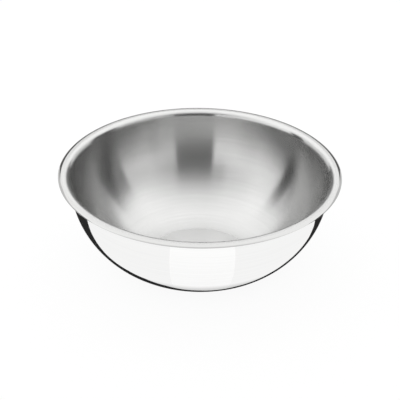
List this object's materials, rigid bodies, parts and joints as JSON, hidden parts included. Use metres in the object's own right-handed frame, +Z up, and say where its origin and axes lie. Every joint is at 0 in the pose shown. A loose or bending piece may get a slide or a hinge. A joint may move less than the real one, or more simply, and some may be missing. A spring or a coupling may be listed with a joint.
{
  "type": "mixing bowl",
  "caption": "Round one-piece stainless-steel mixing bowl with a flat bottom, a satin inside and rim, a mirror-polished outside and a turned-down edge.",
  "frame": {"origin": "centre of the flat bottom, on the surface that the bowl stands on", "axes": "+Z up along the bowl's axis, from the bottom to the mouth; X and Y are alike, because the bowl is round"},
  "size_m": [0.2983, 0.2984, 0.108],
  "materials": {
    "steel": "satin brushed round and round inside and on the rim; the turned-down edge and the whole outside are mirror-polished"
  },
  "bodies": {
    "root": {"bowl": "steel"}
  },
  "joints": []
}
